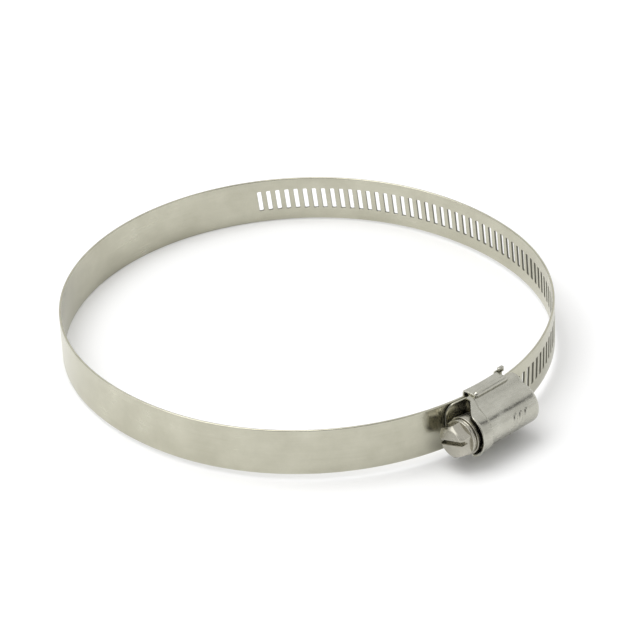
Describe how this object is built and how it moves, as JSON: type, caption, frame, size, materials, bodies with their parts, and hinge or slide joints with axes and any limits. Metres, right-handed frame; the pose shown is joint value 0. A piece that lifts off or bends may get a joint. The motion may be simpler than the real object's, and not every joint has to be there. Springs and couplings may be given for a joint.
{
  "type": "hose clamp",
  "caption": "Worm-drive hose clamp: a perforated steel band in a loop, drawn through a pressed housing by a slotted hexagon screw.",
  "frame": {"origin": "centre of the round far half of the loop, at the middle of the band's width", "axes": "+Z along the hose, -Y towards the housing, -X towards the screw head"},
  "size_m": [0.1254, 0.1405, 0.0172],
  "materials": {
    "band_steel": "satin rolled stainless strip",
    "pressed_steel": "satin pressed stainless sheet",
    "screw_steel": "plated steel, cold headed and turned"
  },
  "bodies": {
    "root": {"housing": "pressed_steel", "saddle": "pressed_steel"},
    "screw": {"screw": "screw_steel"},
    "band_tail": {"band_tail": "band_steel"},
    "band_arc_1": {"band_arc_1": "band_steel"},
    "band_arc_2": {"band_arc_2": "band_steel"},
    "band_arc_3": {"band_arc_3": "band_steel"},
    "band_arc_4": {"band_arc_4": "band_steel"},
    "band_arc_5": {"band_arc_5": "band_steel"},
    "band_arc_6": {"band_arc_6": "band_steel"},
    "band_arc_7": {"band_arc_7": "band_steel"},
    "band_arc_8": {"band_arc_8": "band_steel"},
    "band_arc_9": {"band_arc_9": "band_steel"},
    "band_fixed_end": {"band_fixed_end": "band_steel"}
  },
  "joints": [
    {"name": "screw_spin", "type": "hinge", "parent": "root", "child": "screw", "pos_m": [0, -0.07206, 0], "axis": [1, 0, 0], "range_deg": [0, 7200]},
    {"name": "tail_travel", "type": "hinge", "parent": "root", "child": "band_tail", "pos_m": [0, -0.00551, 0], "axis": [0, 0, -1], "range_deg": [0, 46.88]},
    {"name": "band_flex_1", "type": "hinge", "parent": "band_tail", "child": "band_arc_1", "pos_m": [0.05233, -0.03896, 0], "axis": [0, 0, 1], "range_deg": [0, 7.51]},
    {"name": "band_flex_2", "type": "hinge", "parent": "band_arc_1", "child": "band_arc_2", "pos_m": [0.0603, -0.02036, 0], "axis": [0, 0, 1], "range_deg": [0, 4.42]},
    {"name": "band_flex_3", "type": "hinge", "parent": "band_arc_2", "child": "band_arc_3", "pos_m": [0.0603, 0.01485, 0], "axis": [0, 0, 1], "range_deg": [0, 1.89]},
    {"name": "band_flex_4", "type": "hinge", "parent": "band_arc_3", "child": "band_arc_4", "pos_m": [0.03257, 0.05287, 0], "axis": [0, 0, 1], "range_deg": [0, 1.89]},
    {"name": "band_flex_5", "type": "hinge", "parent": "band_arc_4", "child": "band_arc_5", "pos_m": [-0.00459, 0.06193, 0], "axis": [0, 0, 1], "range_deg": [0, 7.37]},
    {"name": "band_flex_6", "type": "hinge", "parent": "band_arc_5", "child": "band_arc_6", "pos_m": [-0.04002, 0.04749, 0], "axis": [0, 0, 1], "range_deg": [0, 7.51]},
    {"name": "band_flex_7", "type": "hinge", "parent": "band_arc_6", "child": "band_arc_7", "pos_m": [-0.06026, 0.01502, 0], "axis": [0, 0, 1], "range_deg": [0, 4.94]},
    {"name": "band_flex_8", "type": "hinge", "parent": "band_arc_7", "child": "band_arc_8", "pos_m": [-0.06026, -0.01969, 0], "axis": [0, 0, 1], "range_deg": [0, 1.89]},
    {"name": "band_flex_9", "type": "hinge", "parent": "band_arc_8", "child": "band_arc_9", "pos_m": [-0.04153, -0.05084, 0], "axis": [0, 0, 1], "range_deg": [0, 2.08]},
    {"name": "band_flex_10", "type": "hinge", "parent": "band_arc_9", "child": "band_fixed_end", "pos_m": [-0.00857, -0.06617, 0], "axis": [0, 0, 1], "range_deg": [0, 7.51]}
  ],
  "couplings": [
    {"joint": "tail_travel", "follows": "screw_spin", "ratio": 0.0065097},
    {"joint": "band_flex_1", "follows": "screw_spin", "ratio": 0.0010416},
    {"joint": "band_flex_2", "follows": "screw_spin", "ratio": 0.00061191},
    {"joint": "band_flex_3", "follows": "screw_spin", "ratio": 0.00026039},
    {"joint": "band_flex_4", "follows": "screw_spin", "ratio": 0.00026039},
    {"joint": "band_flex_5", "follows": "screw_spin", "ratio": 0.001022},
    {"joint": "band_flex_6", "follows": "screw_spin", "ratio": 0.0010416},
    {"joint": "band_flex_7", "follows": "screw_spin", "ratio": 0.00068352},
    {"joint": "band_flex_8", "follows": "screw_spin", "ratio": 0.00026039},
    {"joint": "band_flex_9", "follows": "screw_spin", "ratio": 0.00028643},
    {"joint": "band_flex_10", "follows": "screw_spin", "ratio": 0.0010416}
  ]
}
